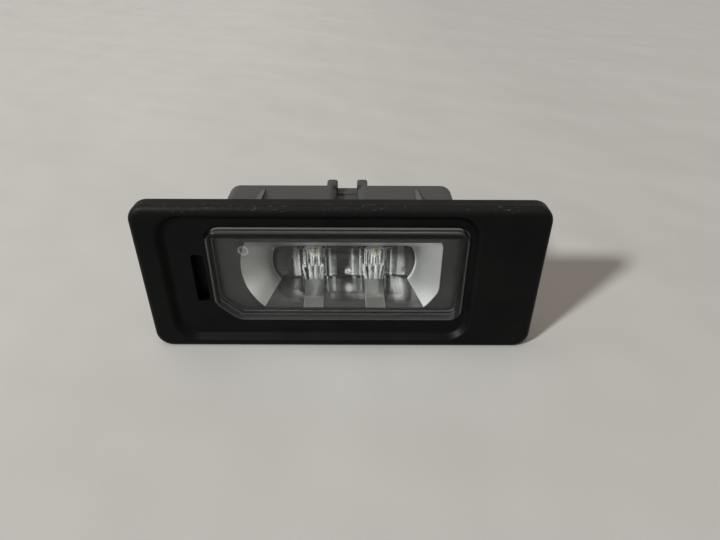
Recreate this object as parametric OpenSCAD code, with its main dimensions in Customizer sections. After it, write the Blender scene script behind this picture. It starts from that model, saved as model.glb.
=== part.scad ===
// Number plate lamp: an LED light unit for a car, clipped into a body panel.
// Millimetres. X runs along the lamp, Y points back into the car, Z is up across the plate.
// The origin is the middle of the seat plane, where the rim of the bezel meets the panel.

/* [Bezel] */
// Length of the bezel
plate_w = 80; // [76:1:90]
// Height of the bezel
plate_h = 33.5; // [32:0.5:40]
// Depth of the rim, from its front to the seat
rim_d = 3.5; // [3.2:0.1:4.5]
// Radius of the outer corners
plate_r = 3.5; // [2:0.5:6]
// Rounding of the front edge
edge_r = 1.2; // [0.5:0.1:1.6]
// Land left of the sunk field
land_left = 4.3; // [4:0.1:5]
// Land right of the sunk field
land_right = 12.8; // [12:0.1:14]
// Land above and below the sunk field
land_side = 1.6; // [1.4:0.1:1.8]
// Depth of the sunk field
field_d = 1.3; // [0.8:0.1:1.4]
// Width of the soft step round the field
field_step = 1.7; // [1:0.1:2]
// Corner radius at the foot of the step
field_r = 3.6; // [3:0.2:5]
// Width of the seat that bears on the panel
seat_w = 2.2; // [1.8:0.1:3]
// Depth of the relief behind the plate
relief_d = 1.2; // [1:0.1:1.4]
// Width of the release slot
slot_w = 2.4; // [1.8:0.1:2.6]
// Length of the release slot
slot_l = 11; // [8:0.5:13]
// Depth of the release slot
slot_d = 2.4; // [1.5:0.1:2.8]
// Wall of the pocket behind the release slot
slot_wall = 0.8; // [0.6:0.1:1]

/* [Lens] */
// Space left of the lens, which holds the release slot
lens_space_left = 7.8; // [7:0.1:9]
// Space right of the lens
lens_space_right = 0.6; // [0.4:0.1:2]
// Lower edge of the lens
lens_low = -9.7; // [-10:0.1:-9.5]
// Upper edge of the lens
lens_high = 11.6; // [11:0.1:12]
// Corner radius of the lens
lens_r = 2.7; // [2:0.1:3.5]
// Cut corner of the lens, along X
lens_cut_x = 4.7; // [3:0.1:6]
// Cut corner of the lens, along Z
lens_cut_z = 4.1; // [3:0.1:6]
// Rounding of the lens's front edge
lens_edge = 0.7; // [0.4:0.1:1]
// Wall of the lens
lens_wall = 1.2; // [0.9:0.1:1.5]
// Front wall of the lens
lens_front = 1.6; // [1.2:0.1:1.8]
// Gap between the lens and its window
lens_gap = 0.25; // [0.1:0.05:0.4]

/* [Reflector] */
// Middle of the bowl and of the light guide
bowl_x = 0.4; // [0:0.05:1]
// Space between the mouth of the bowl and the nearer end of the mask
mouth_in = 2.3; // [1.9:0.1:3]
// Least width of the mask beside its opening
mask_side = 3.4; // [2:0.1:4]
// Radius of the bowl at its mouth
mouth_r = 13.6; // [12.8:0.1:14]
// Height of the mouth's round ends
mouth_z = 1.8; // [1:0.1:2.4]
// Taper of the bowl on each side, from its mouth to its back
throat_in = 5.05; // [4.6:0.05:5.5]
// Radius of the bowl at its back
throat_r = 8.2; // [7.8:0.1:8.4]
// Height of the throat's round ends
throat_z = -1.35; // [-1.6:0.05:-1]
// Floor of the bowl at its mouth
mouth_floor = -8; // [-8.05:0.05:-7.5]
// Floor of the bowl at its back
throat_floor = -6.2; // [-6.6:0.1:-6]
// Roof of the bowl at its mouth
mouth_roof = 8.1; // [7.4:0.1:8.2]
// Roof of the bowl at its back
throat_roof = 2.75; // [2.5:0.05:4]
// Wall of the bowl
bowl_wall = 0.7; // [0.5:0.1:0.7]
// Width of a tongue on the floor, at its back
tongue_w = 4.3; // [3.8:0.1:4.4]
// Width of a tongue at its front
tongue_tip = 3.7; // [3.4:0.1:4.4]
// Height of a tongue
tongue_h = 0.3; // [0.2:0.05:0.4]

/* [Light guide] */
// Place of each lamp along its half of the guide, as a share
lamp_share = 0.45; // [0.42:0.01:0.5]
// Gap between the guide's round ends and the throat
guide_gap = 1.1; // [0.7:0.1:1.3]
// Lower edge of the guide bar between its round ends
guide_low = -4.5; // [-4.9:0.1:-4.2]
// Lower edge of the bar's round ends
guide_foot = -5.4; // [-5.6:0.1:-5.1]
// Depth of the guide bar in front of its plate
guide_d = 1.4; // [1.2:0.1:1.8]
// Thickness of the guide's plate
guide_plate = 1.2; // [1:0.1:1.5]
// Width of a prism block
block_w = 4.35; // [4:0.05:4.6]
// Foot of the prism blocks
block_low = -5.2; // [-5.5:0.1:-5]
// Height where the fan of the prism ends
fan_top = -1.8; // [-2.4:0.1:-1.4]
// Flutes in one fan
fan_flutes = 4; // [3:1:5]
// Tilt of the outer flutes of a fan
fan_tilt = 7; // [0:1:9]

/* [Housing] */
// Distance of the housing's sides inside the edge of the lens
house_in = 1.1; // [1:0.1:2.4]
// Underside of the housing
house_low = -10.3; // [-10.5:0.1:-10.1]
// Top of the housing
house_high = 12.2; // [12.1:0.1:12.5]
// Wall of the housing
house_wall = 1.6; // [1.4:0.1:1.6]
// Depth of the housing behind the seat
house_d = 17.2; // [16.8:0.1:20]
// Corner radius of the housing
house_r = 2.6; // [1.6:0.1:3]
// Width of the channel between the lobes
channel_w = 4.5; // [4:0.1:6]
// Depth of the channel
channel_d = 2.2; // [1.6:0.1:2.4]
// Wall under the channel
channel_wall = 1; // [0.8:0.1:1.2]
// Rounding of the lobes beside the channel
lobe_r = 1.9; // [0.8:0.1:1.9]
// Width of a centring rib
rib_w = 1.6; // [1:0.1:2]
// Width of a centring rib at its tip
rib_tip = 0.5; // [0.3:0.1:0.9]
// Height of a centring rib at the flange
rib_h = 1.8; // [1:0.1:2]
// Distance of a centring rib from the side of the housing
rib_in = 8.1; // [5:0.1:9]

/* [Connector] */
// Middle of the connector and the channel
plug_x = 0.8; // [-0.5:0.05:1]
// Width of the socket
socket_w = 9.8; // [9:0.1:11]
// Height of the socket
socket_h = 7.2; // [6.6:0.1:7.4]
// Wall of the socket
socket_wall = 1.2; // [1:0.1:1.4]
// Length of the shroud behind the housing
shroud_l = 3; // [2:0.1:6]
// Depth of the socket
socket_d = 7; // [6:0.1:7.4]
// Distance between the pins
pin_pitch = 5.2; // [5:0.1:5.6]
// Thickness of a pin
pin_t = 0.8; // [0.6:0.1:0.9]
// Width of a pin
pin_w = 2.8; // [2:0.1:3]
// Width of a guide rail
rail_w = 2.35; // [2:0.05:2.6]
// Height of the rails over the shroud
rail_h = 2.05; // [1.5:0.05:3]

/* [Clips] */
// Width of the retaining spring and of the hook
clip_w = 8; // [6:0.5:9]
// Thickness of the spring strip
spring_t = 0.6; // [0.4:0.05:0.7]
// Reach of the spring beyond the housing
spring_reach = 8; // [7:0.1:8.6]
// Thickness of the panel that the lamp clips into
panel_t = 2.8; // [2:0.1:3.2]
// Reach of the fixed hook
hook_reach = 3.6; // [3:0.1:4.2]

/* [Board] */
// Space between the board and the back of the socket
board_space = 1.4; // [1.3:0.1:2]
// Thickness of the circuit board
board_t = 1.2; // [1:0.1:1.6]
// Gap between the board and the housing
board_gap = 0.6; // [0.4:0.1:0.8]
// Width of a light-emitting diode
led_w = 3.2; // [2.8:0.1:3.4]
// Height of a light-emitting diode
led_h = 2.8; // [2.4:0.1:3]
// Thickness of a light-emitting diode
led_t = 0.7; // [0.5:0.05:0.75]
// Height of the diodes on the board
led_z = -0.6; // [-1.4:0.1:0.2]
// Length of a resistor
resistor_l = 3.2; // [2:0.1:3.4]
// Radius of a staked peg
peg_r = 0.9; // [0.7:0.05:1]

/* [Hidden] */
$fn = 48;
arc_n = 7;
roof_n = 4;
eps = 0.01;
far = 60;
r_least = 0.15;

// Planes along the depth, front to back
front_y = -rim_d;
field_y = front_y + field_d;
relief_y = -relief_d;
lens_in_y = front_y + lens_front;
mask_t = 0.5;
mask_gap = 0.15;
mask_in = 0.2;
mask_y = relief_y + mask_in;
flange_t = 1;
ledge_t = 1.4;
bowl_y = mask_y + mask_t;
ledge_y = bowl_y + flange_t;
flange_back_y = ledge_y + ledge_t;
house_back_y = house_d;
house_in_y = house_back_y - house_wall;
shroud_y = house_back_y + shroud_l;
socket_y = shroud_y - socket_d;
pin_in = 1.8;
pin_end_y = shroud_y - pin_in;
board_back_y = socket_y - socket_wall - board_space;
board_y = board_back_y - board_t;
plate_y = board_y - guide_plate;
throat_y = plate_y - bowl_wall;

// Outlines are [left, right, low, high, radius, cut along X, cut along Z]
plate_o = [-plate_w / 2, plate_w / 2, -plate_h / 2, plate_h / 2, plate_r, 0, 0];
step_o = [plate_o[0] + land_left, plate_o[1] - land_right, plate_o[2] + land_side,
          plate_o[3] - land_side, field_r + field_step, 0, 0];
lens_left = step_o[0] + field_step + lens_space_left;
lens_right = step_o[1] - field_step - lens_space_right;
lens_o = [lens_left, lens_right, lens_low, lens_high, lens_r, lens_cut_x, lens_cut_z];
window_o = inset(lens_o, -lens_gap);
seam_w = 1;
seam_gap = 0.05;
fit_gap = 0.1;
flange_o = inset(lens_o, -seam_w);
pocket_o = inset(lens_o, lens_wall + seam_gap);
mask_o = inset(pocket_o, mask_gap);
house_left = lens_left + house_in;
house_right = lens_right - house_in;
house_o = [house_left, house_right, house_low, house_high, house_r, 0, 0];
cavity_o = inset(house_o, house_wall);
board_o = inset(cavity_o, board_gap);
channel_z = house_high - channel_d;
floor_step = 0.25;
channel_low = channel_z - floor_step - channel_wall;
socket_z = channel_z - socket_wall - socket_h / 2;
middle_z = (house_low + house_high) / 2;
slot_x = lens_left - seam_w - slot_w / 2 - fit_gap;

// Small pieces and their running gaps
seal_in = 0.2;
seal_w = 0.6;
seal_d = 0.6;
phosphor_t = 0.25;
pin_gap = 0.06;
vent_d = 0.6;
vent_r = 3;
vent_in = 10;
vent_x = house_left + vent_in;
vent_z = middle_z;
spring_gap = 0.1;
lug_y = 6;
lug_l = 5;
carrier_r = 1;
slot_r = 0.5;

// Outlines of the bowl and of the guide bar that stands in its throat
mouth_half = min(bowl_x - mask_o[0], mask_o[1] - bowl_x) - mouth_in;
mouth_x = mouth_half - mouth_r;
throat_half = mouth_half - throat_in;
throat_x = throat_half - throat_r;
lamp_x = lamp_share * (throat_half - guide_gap);
function lamp_at(side) = bowl_x + side * lamp_x;
mouth = bowl(mouth_x, mouth_z, mouth_r, mouth_floor, mouth_roof);
throat = bowl(throat_x, throat_z, throat_r, throat_floor, throat_roof);
rim_o = inset(mask_o, fit_gap / 2);
back_floor = max(mouth_floor - bowl_wall, rim_o[2]);
back_roof = min(mouth_roof + bowl_wall, channel_low - fit_gap);
mouth_back = bowl(mouth_x, mouth_z, mouth_r + bowl_wall, back_floor, back_roof);
throat_back = bowl(throat_x, throat_z, throat_r + bowl_wall, throat_floor - bowl_wall, throat_roof + bowl_wall);
function floor_at(y) = mouth_floor + (throat_floor - mouth_floor) * (y - bowl_y) / (throat_y - bowl_y);
bar_y = plate_y - guide_d;
block_out = 0.45;
fan_out = 0.7;
block_y = bar_y - block_out;
fan_y = bar_y - fan_out;
bar_top_gap = 0.25;
bar_high = throat_roof - bar_top_gap;
bar_o = bowl(throat_x, throat_z, throat_r - guide_gap, guide_foot, bar_high);
flute_h = 0.3;
flute_n = 8;
flute_back_y = bar_y + guide_d / 2;
upper_flutes = 3;
carrier_x = min(-cavity_o[0], cavity_o[1]) - board_gap;
carrier_low = cavity_o[2] + board_gap;
carrier_high = channel_low - board_gap;
peg_in = 1.1;
peg_x = carrier_x - peg_r - peg_in;
peg_low = carrier_low + peg_r + peg_in;
peg_high = carrier_high - peg_r - peg_in;

// Places of the parts on the back of the board, under the socket
part_pitch = 4.6;
row_1_z = board_o[2] + 2.3;
row_2_z = row_1_z + 3.6;
capacitor_x = 2.6;
diode_x = 8.2;

// Points of an arc
function arc(x, z, r, a0, a1) =
    [for (i = [0:arc_n]) let (a = a0 + (a1 - a0) * i / arc_n) [x + r * cos(a), z + r * sin(a)]];

// An outline moved inwards all round, or outwards for a negative distance
function inset(o, d) = let (l = norm([o[5], o[6]]), k = o[5] + o[6] - l)
    [o[0] + d, o[1] - d, o[2] + d, o[3] - d, max(o[4] - d, r_least),
     o[5] > 0 ? o[5] - d * k / o[6] : 0, o[6] > 0 ? o[6] - d * k / o[5] : 0];

// Points of an outline, the same number for every outline
function points(o) =
    let (r = o[4], l = norm([o[5], o[6]]), cut = o[5] > 0,
         xa = o[0] + r, za = cut ? o[2] + o[6] + r * (l - o[6]) / o[5] : o[2] + r,
         xb = cut ? o[0] + o[5] + r * (l - o[5]) / o[6] : o[0] + r, zb = o[2] + r,
         phi = cut ? 180 + atan2(o[5], o[6]) : 225)
    concat(arc(o[1] - r, o[2] + r, r, 270, 360), arc(o[1] - r, o[3] - r, r, 0, 90),
           arc(o[0] + r, o[3] - r, r, 90, 180), arc(xa, za, r, 180, phi), arc(xb, zb, r, phi, 270));

// A solid through outlines at rising depths, or a ring when it is closed on itself
module loft(sections, ring = false) {
    count = len(sections);
    size = len(sections[0][1]);
    spans = ring ? count : count - 1;
    sides = [for (k = [0:spans - 1], i = [0:size - 1]) let (
        a = k * size + i, b = k * size + (i + 1) % size,
        c = ((k + 1) % count) * size + (i + 1) % size, d = ((k + 1) % count) * size + i)
        each [[a, b, c], [a, c, d]]];
    caps = ring ? [] : [[for (i = [size - 1:-1:0]) i], [for (i = [0:size - 1]) (count - 1) * size + i]];
    polyhedron([for (s = sections, p = s[1]) [p[0], s[0], p[1]]], concat(sides, caps), 6);
}

// A flat shape drawn in X and Z, made solid from one depth to another
module slab(y0, y1) {
    translate([0, y1, 0]) rotate([90, 0, 0]) linear_extrude(y1 - y0) children();
}

// A flat shape drawn in X and Y, made solid from one height to another
module rise(z0, z1) {
    translate([0, 0, z0]) linear_extrude(z1 - z0) children();
}

module shape(o) polygon(points(o));

// A rectangle with exact round corners
module soft_rect(x0, x1, z0, z1, r) {
    translate([x0 + r, z0]) square([x1 - x0 - 2 * r, z1 - z0]);
    translate([x0, z0 + r]) square([x1 - x0, z1 - z0 - 2 * r]);
    for (x = [x0 + r, x1 - r], z = [z0 + r, z1 - r]) translate([x, z]) circle(r);
}

// Sections of a rounded front edge
function round_front(o, y, r) =
    [for (i = [0:4]) let (a = 90 * i / 4) [y + r * (1 - sin(a)), points(inset(o, r * (1 - cos(a))))]];
// Sections of a rounded back edge
function round_back(o, y, r) =
    [for (i = [0:3]) let (a = 90 * i / 3) [y - r * (1 - sin(a)), points(inset(o, r * (1 - cos(a))))]];
function turned(list) = [for (i = [len(list) - 1:-1:0]) list[i]];

// The soft step of the sunk field, from the rim down to its floor
step_n = 6;
function soft_step() =
    [for (i = [0:step_n]) let (t = i / step_n)
        [front_y + field_d * (1 - cos(180 * t)) / 2, points(inset(step_o, field_step * t))]];

module fixed_hook() {
    post = 2;
    nose = 2.4;
    nose_tip = 0.8;
    web = 1.4;
    web_t = 1.2;
    foot_gap = 2.3;
    foot_x = lens_right + seam_w + foot_gap;
    z0 = middle_z - clip_w / 2;
    rise(z0, z0 + clip_w) polygon([
        [foot_x, relief_y - eps], [foot_x + post, relief_y - eps],
        [foot_x + post, panel_t], [foot_x + post + hook_reach, panel_t],
        [foot_x + post + hook_reach, panel_t + nose_tip], [foot_x + post, panel_t + nose],
        [foot_x, panel_t + nose]]);
    // Webs that stiffen the post
    for (z = [z0, z0 + clip_w - web_t])
        rise(z, z + web_t) polygon([
            [foot_x - web, relief_y - eps], [foot_x + eps, relief_y - eps], [foot_x + eps, panel_t]]);
}

// Outline of the release slot, or of the pocket behind it
module slot_shape(grow) {
    soft_rect(slot_x - slot_w / 2 - grow, slot_x + slot_w / 2 + min(grow, 0),
              -slot_l / 2 - grow, slot_l / 2 + grow, slot_r);
}

module bezel() {
    color("#17181a") difference() {
        union() {
            loft(concat(
                turned(round_front(plate_o, front_y, edge_r)),
                [[0, points(plate_o)], [0, points(inset(plate_o, seat_w))],
                 [relief_y, points(inset(plate_o, seat_w))],
                 [relief_y, points(window_o)], [field_y, points(window_o)]],
                turned(soft_step())), ring = true);
            fixed_hook();
            slab(relief_y - eps, field_y + slot_d + slot_wall) slot_shape(slot_wall);
        }
        // Release slot, where a blade pushes the lamp against its spring
        slab(front_y - 1, field_y + slot_d) slot_shape(0);
    }
}

module lens() {
    mark_r = 1;
    mark_d = 0.15;
    mark_in = 7;
    mark_down = 4.4;
    color("#dfe8ea", 0.35) difference() {
        loft(concat(
            turned(round_front(lens_o, front_y, lens_edge)),
            [[relief_y, points(lens_o)], [relief_y, points(inset(lens_o, lens_wall))],
             [lens_in_y, points(inset(lens_o, lens_wall))]]));
        // Gate mark of the moulding
        translate([lens_left + mark_in, front_y + mark_d, lens_high - mark_down])
            rotate([90, 0, 0]) cylinder(h = 1, r = mark_r);
    }
}

module seal_ring() {
    difference() {
        shape(inset(lens_o, seal_in));
        shape(inset(lens_o, seal_in + seal_w));
    }
}

module lens_seal() {
    color("#2b2d2e") slab(relief_y, relief_y + seal_d) seal_ring();
}

// Angles round the bowl: up to the height where the roof meets the mouth, then on to the top
function bowl_angles(low) =
    let (turn = asin((mouth_roof - mouth_z) / mouth_r), n = 2 * arc_n)
    concat([for (i = [0:n]) low + (turn - low) * i / n], [for (i = [1:roof_n]) turn + (90 - turn) * i / roof_n]);

// Outline of the bowl: two round ends, cut by a floor and a roof
function bowl(x, z, r, floor_z, roof_z) =
    let (half = [for (a = bowl_angles(asin((floor_z - z) / r))) [x + r * cos(a), min(z + r * sin(a), roof_z)]])
    concat([for (p = half) [bowl_x + p[0], p[1]]], [for (p = turned(half)) [bowl_x - p[0], p[1]]]);

module mask() {
    color("#55585a") difference() {
        slab(mask_y, bowl_y) shape(mask_o);
        slab(mask_y - 1, bowl_y + 1) polygon([for (p = mouth) [min(p[0], mask_o[1] - mask_side), p[1]]]);
    }
}

// A profile drawn in Y and Z, made solid from one side to another
module across(x0, x1) {
    translate([x0, 0, 0]) rotate([90, 0, 90]) linear_extrude(x1 - x0) children();
}

// A tongue on the sloping floor, running under a prism block
module tongue(x) {
    start = 0.4;
    y0 = bowl_y + start;
    y1 = throat_y;
    intersection() {
        across(x - tongue_w, x + tongue_w) polygon([
            [y0, floor_at(y0) - bowl_wall / 2], [y1, floor_at(y1) - bowl_wall / 2],
            [y1, floor_at(y1) + tongue_h], [y0 + tongue_h, floor_at(y0) + tongue_h], [y0, floor_at(y0)]]);
        rise(-far, far) polygon([[x - tongue_tip / 2, y0], [x + tongue_tip / 2, y0],
                                 [x + tongue_w / 2, y1], [x - tongue_w / 2, y1]]);
    }
}

// Pegs that carry the guide and the board, with their heads staked over
module pegs(r, y0, y1) {
    for (x = [-peg_x, peg_x], z = [peg_low, peg_high])
        translate([x, y1, z]) rotate([90, 0, 0]) cylinder(h = y1 - y0, r = r);
}

// Outline that the back of the reflector and the plate of the guide share
module carrier() {
    soft_rect(-carrier_x, carrier_x, carrier_low, carrier_high, carrier_r);
}

module reflector() {
    head_r = peg_r + 0.7;
    head_t = 0.7;
    head_draw = 0.4;
    color("#b9bab6") {
        difference() {
            union() {
                slab(bowl_y, ledge_y) shape(rim_o);
                loft([[bowl_y, mouth_back], [plate_y, throat_back]]);
                slab(plate_y - flange_t, plate_y) carrier();
            }
            loft([[bowl_y - eps, mouth], [throat_y, throat], [plate_y + eps, throat]]);
        }
        for (side = [-1, 1]) tongue(lamp_at(side));
        pegs(peg_r, plate_y - flange_t / 2, board_back_y);
        for (x = [-peg_x, peg_x], z = [peg_low, peg_high])
            translate([x, board_back_y, z]) rotate([-90, 0, 0])
                cylinder(h = head_t, r1 = head_r, r2 = head_r - head_draw);
    }
}

// Front of a row of convex flutes of given widths, side by side from a start, with their feet at a depth
function flute_row(x, widths, y) =
    [for (i = [0:len(widths) - 1], k = [i == 0 ? 0 : 1:flute_n]) let (t = k / flute_n)
        [x + sum(widths, i) + widths[i] * t, y - flute_h * 4 * t * (1 - t)]];
function sum(list, n) = n == 0 ? 0 : list[n - 1] + sum(list, n - 1);

module flutes(x, widths, y, back_y) {
    polygon(concat(flute_row(x, widths, y), [[x + sum(widths, len(widths)), back_y], [x, back_y]]));
}

// A round finger with a domed top, running a little below its foot
module finger(r, h) {
    steps = 5;
    rotate_extrude() polygon(concat([[0, -r], [r, -r]],
        [for (i = [0:steps]) let (a = 90 * i / steps) [r * cos(a), h + r * sin(a)]]));
}

// The prism block before one lamp: upright flutes above, a tilted fan below
module prism_block() {
    flute_w = block_w / upper_flutes;
    rise(fan_top, bar_high)
        flutes(-block_w / 2, [for (i = [1:upper_flutes]) flute_w], block_y + flute_h, plate_y);
    finger_lap = 1.12;
    finger_r = finger_lap * block_w / fan_flutes / 2;
    side = 0.5;
    intersection() {
        union() for (i = [0:fan_flutes - 1]) {
            place = (2 * i + 1) / fan_flutes - 1;
            translate([place * block_w / 2, fan_y + finger_r, block_low]) rotate([0, place * fan_tilt, 0])
                finger(finger_r, fan_top - block_low);
        }
        translate([-block_w / 2 - side, fan_y - 1, block_low])
            cube([block_w + 2 * side, plate_y - fan_y + 1, far]);
    }
    translate([-block_w / 2, fan_y + finger_r, block_low])
        cube([block_w, plate_y - fan_y - finger_r, fan_top - block_low]);
}

module light_guide() {
    outer = [1.15, 1.75];
    inner = [1.1, 1.7];
    half = block_w / 2;
    cup_r = 0.4;
    foot_in = 1.5;
    foot_x = throat_half - guide_gap - foot_in;
    slope = 2.3;
    color("#e6eef0", 0.45) difference() {
        union() {
            slab(plate_y, board_y) carrier();
            slab(bar_y, plate_y) difference() {
                polygon(bar_o);
                // The bar is lower at its round ends than between them
                polygon([[bowl_x - foot_x, guide_foot - eps], [bowl_x - foot_x + slope, guide_low],
                         [bowl_x + foot_x - slope, guide_low], [bowl_x + foot_x, guide_foot - eps]]);
            }
            intersection() {
                rise(guide_low, bar_high) {
                    flutes(lamp_at(-1) - half - sum(outer, 2), turned(outer), bar_y, flute_back_y);
                    flutes(lamp_at(-1) + half, inner, bar_y, flute_back_y);
                    flutes(lamp_at(1) - half - sum(inner, 2), turned(inner), bar_y, flute_back_y);
                    flutes(lamp_at(1) + half, outer, bar_y, flute_back_y);
                }
                slab(bar_y - 1, plate_y) polygon(bar_o);
            }
            for (side = [-1, 1]) translate([lamp_at(side), 0, 0]) prism_block();
        }
        pegs(peg_r + fit_gap, plate_y - 1, board_y + 1);
        // Cups that the diodes shine into
        for (x = [lamp_at(-1), lamp_at(1)])
            slab(board_y - led_t - phosphor_t - fit_gap, board_y + 1)
                soft_rect(x - led_w / 2 - fit_gap, x + led_w / 2 + fit_gap,
                          led_z - led_h / 2 - fit_gap, led_z + led_h / 2 + fit_gap, cup_r);
    }
}

module circuit_board() {
    color("#24402f") difference() {
        slab(board_y, board_back_y)
            soft_rect(board_o[0], board_o[1], board_o[2], carrier_high, carrier_r);
        pegs(peg_r + fit_gap, board_y - 1, board_back_y + 1);
        for (x = [-1, 1]) translate([plug_x + x * pin_pitch / 2, 0, socket_z])
            slab(board_y - 1, board_back_y + 1) square([pin_t + fit_gap, pin_w / 2 + fit_gap], center = true);
    }
}

module led(x) {
    corner = 0.2;
    color("#e8e6dc") slab(board_y - led_t, board_y)
        soft_rect(x - led_w / 2, x + led_w / 2, led_z - led_h / 2, led_z + led_h / 2, corner);
}

module phosphor(x) {
    edge = 0.4;
    corner = 0.5;
    color("#e3cf4a") slab(board_y - led_t - phosphor_t, board_y - led_t)
        soft_rect(x - led_w / 2 + edge, x + led_w / 2 - edge,
                  led_z - led_h / 2 + edge, led_z + led_h / 2 - edge, corner);
}

// A chip part with metal ends, lying on the back of the board
module chip(x, z, l, w, t, hue) {
    cap = l * 0.15;
    coat = 0.02;
    color(hue) {
        slab(board_back_y, board_back_y + t - 2 * coat)
            translate([x - l / 2, z - w / 2 + coat]) square([l, w - 2 * coat]);
        for (side = [x - l / 2, x + l / 2 - cap])
            slab(board_back_y, board_back_y + t) translate([side, z - w / 2]) square([cap, w]);
    }
}

module resistor(column) {
    chip((column - 1.5) * part_pitch, row_1_z, resistor_l, resistor_l / 2, 0.6, "#1c1c1e");
}

module capacitor(side) {
    chip(side * capacitor_x, row_2_z, resistor_l, resistor_l / 2, 1.2, "#a08968");
}

// Outline of a diode's moulded case, drawn in by its slanted sides
function diode_case(x, l, w, draw) =
    points([x - l / 2 + draw, x + l / 2 - draw, row_2_z - w / 2 + draw, row_2_z + w / 2 - draw, r_least, 0, 0]);

// A moulded diode with two folded leads
module diode(side) {
    l = 4.4;
    w = 2.6;
    t = 2.1;
    lead_t = 0.25;
    lead_w = 1.4;
    lead_l = 1;
    draw = 0.1;
    x = side * diode_x;
    color("#202123") {
        loft([[board_back_y + lead_t, diode_case(x, l, w, draw)],
              [board_back_y + t / 2, diode_case(x, l, w, 0)],
              [board_back_y + t, diode_case(x, l, w, 3 * draw)]]);
        for (end = [-1, 1])
            slab(board_back_y, board_back_y + lead_t + eps)
                translate([x + end * (l / 2 - draw) - lead_l / 2, row_2_z - lead_w / 2]) square([lead_l, lead_w]);
    }
}

module contact_pin(side) {
    x = plug_x + side * pin_pitch / 2;
    tip = 0.8;
    neck_y = board_back_y + 0.3;
    color("#c9c2ab") across(x - pin_t / 2, x + pin_t / 2) translate([0, socket_z]) polygon([
        [board_y + eps, -pin_w / 4], [neck_y, -pin_w / 4], [neck_y, -pin_w / 2], [pin_end_y - tip, -pin_w / 2],
        [pin_end_y, -pin_w / 2 + tip], [pin_end_y, pin_w / 2 - tip], [pin_end_y - tip, pin_w / 2],
        [neck_y, pin_w / 2], [neck_y, pin_w / 4], [board_y + eps, pin_w / 4]]);
}

// The cut between the lobes, with their round shoulders
module channel() {
    x0 = plug_x - channel_w / 2;
    x1 = plug_x + channel_w / 2;
    translate([x0, channel_z - floor_step]) square([channel_w, far]);
    for (side = [-1, 1]) {
        edge = side < 0 ? x0 : x1;
        difference() {
            translate([side < 0 ? edge - lobe_r : edge - eps, house_high - lobe_r]) square([lobe_r + eps, far]);
            translate([edge + side * lobe_r, house_high - lobe_r]) circle(lobe_r);
        }
    }
}

// A rib that centres the lamp in its panel, tapering in width and height towards the back
module centring_rib(x, up) {
    z = up ? house_high : -house_low;
    root = house_wall / 2;
    level = 1;
    y0 = flange_back_y - root;
    y1 = house_back_y - 2;
    mirror([0, 0, up ? 0 : 1]) intersection() {
        rise(z - root, z + rib_h) polygon([[x - rib_w / 2, y0], [x + rib_w / 2, y0],
                                           [x + rib_tip / 2, y1], [x - rib_tip / 2, y1]]);
        across(x - rib_w, x + rib_w)
            polygon([[y0, z - root], [y1, z - root], [y1, z],
                     [flange_back_y + level, z + rib_h], [y0, z + rib_h]]);
    }
}

// Lugs on the left wall that grip the spring's leg
module spring_lug(side) {
    grip = 1.2;
    lip = 0.5;
    root = house_wall / 2;
    reach = spring_gap + spring_t + fit_gap + lip;
    z = side * middle_z + clip_w / 2 + fit_gap;
    mirror([0, 0, side < 0 ? 1 : 0]) translate([house_left - reach, lug_y]) {
        rise(z - grip / 2, z + grip) square([lip, lug_l]);
        rise(z, z + grip) square([reach + root, lug_l]);
    }
}

module housing() {
    vent_bore = 1.2;
    root = 0.5;
    back_r = 0.8;
    shroud_r = 1.2;
    rail_r = 0.6;
    rail_lap = 0.1;
    bore_r = 0.8;
    color("#46484a") difference() {
        union() {
            difference() {
                union() {
                    slab(relief_y, flange_back_y) shape(flange_o);
                    loft(concat([[flange_back_y - root, points(house_o)]],
                                round_back(house_o, house_back_y, back_r)));
                    for (x = [house_left + rib_in, house_right - rib_in], up = [true, false]) centring_rib(x, up);
                    for (side = [-1, 1]) spring_lug(side);
                }
                slab(relief_y - 1, ledge_y) shape(pocket_o);
                slab(ledge_y - eps, house_in_y) shape(cavity_o);
                slab(relief_y - eps, relief_y + seal_d) seal_ring();
            }
            // Wall of the channel inside
            slab(ledge_y, house_in_y + eps)
                translate([plug_x - channel_w / 2 - house_wall, channel_low])
                    square([channel_w + 2 * house_wall, house_high - house_wall / 2 - channel_low]);
            // Socket with its guide rails
            slab(socket_y - socket_wall, shroud_y)
                soft_rect(plug_x - socket_w / 2 - socket_wall, plug_x + socket_w / 2 + socket_wall,
                          socket_z - socket_h / 2 - socket_wall, channel_z, shroud_r);
            for (side = [-1, 1]) slab(house_back_y - root, shroud_y)
                let (x = plug_x + side * (channel_w / 2 - rail_lap + rail_w / 2))
                    soft_rect(x - rail_w / 2, x + rail_w / 2, channel_z - 2 * rail_r, channel_z + rail_h, rail_r);
        }
        slab(flange_back_y - 1, house_back_y + eps) channel();
        slab(socket_y, shroud_y + 1)
            soft_rect(plug_x - socket_w / 2, plug_x + socket_w / 2,
                      socket_z - socket_h / 2, socket_z + socket_h / 2, bore_r);
        for (x = [-1, 1]) translate([plug_x + x * pin_pitch / 2, 0, socket_z])
            slab(socket_y - socket_wall - 1, socket_y + eps) square([pin_t + pin_gap, pin_w + pin_gap], center = true);
        translate([vent_x, house_in_y - 1, vent_z]) rotate([-90, 0, 0]) cylinder(h = 5, r = vent_bore);
        translate([vent_x, house_back_y - vent_d, vent_z]) rotate([-90, 0, 0]) cylinder(h = 5, r = vent_r + fit_gap);
    }
}

module vent_membrane() {
    color("#d9dbd8") translate([vent_x, house_back_y - vent_d, vent_z]) rotate([-90, 0, 0])
        cylinder(h = vent_d / 2, r = vent_r);
}

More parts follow.
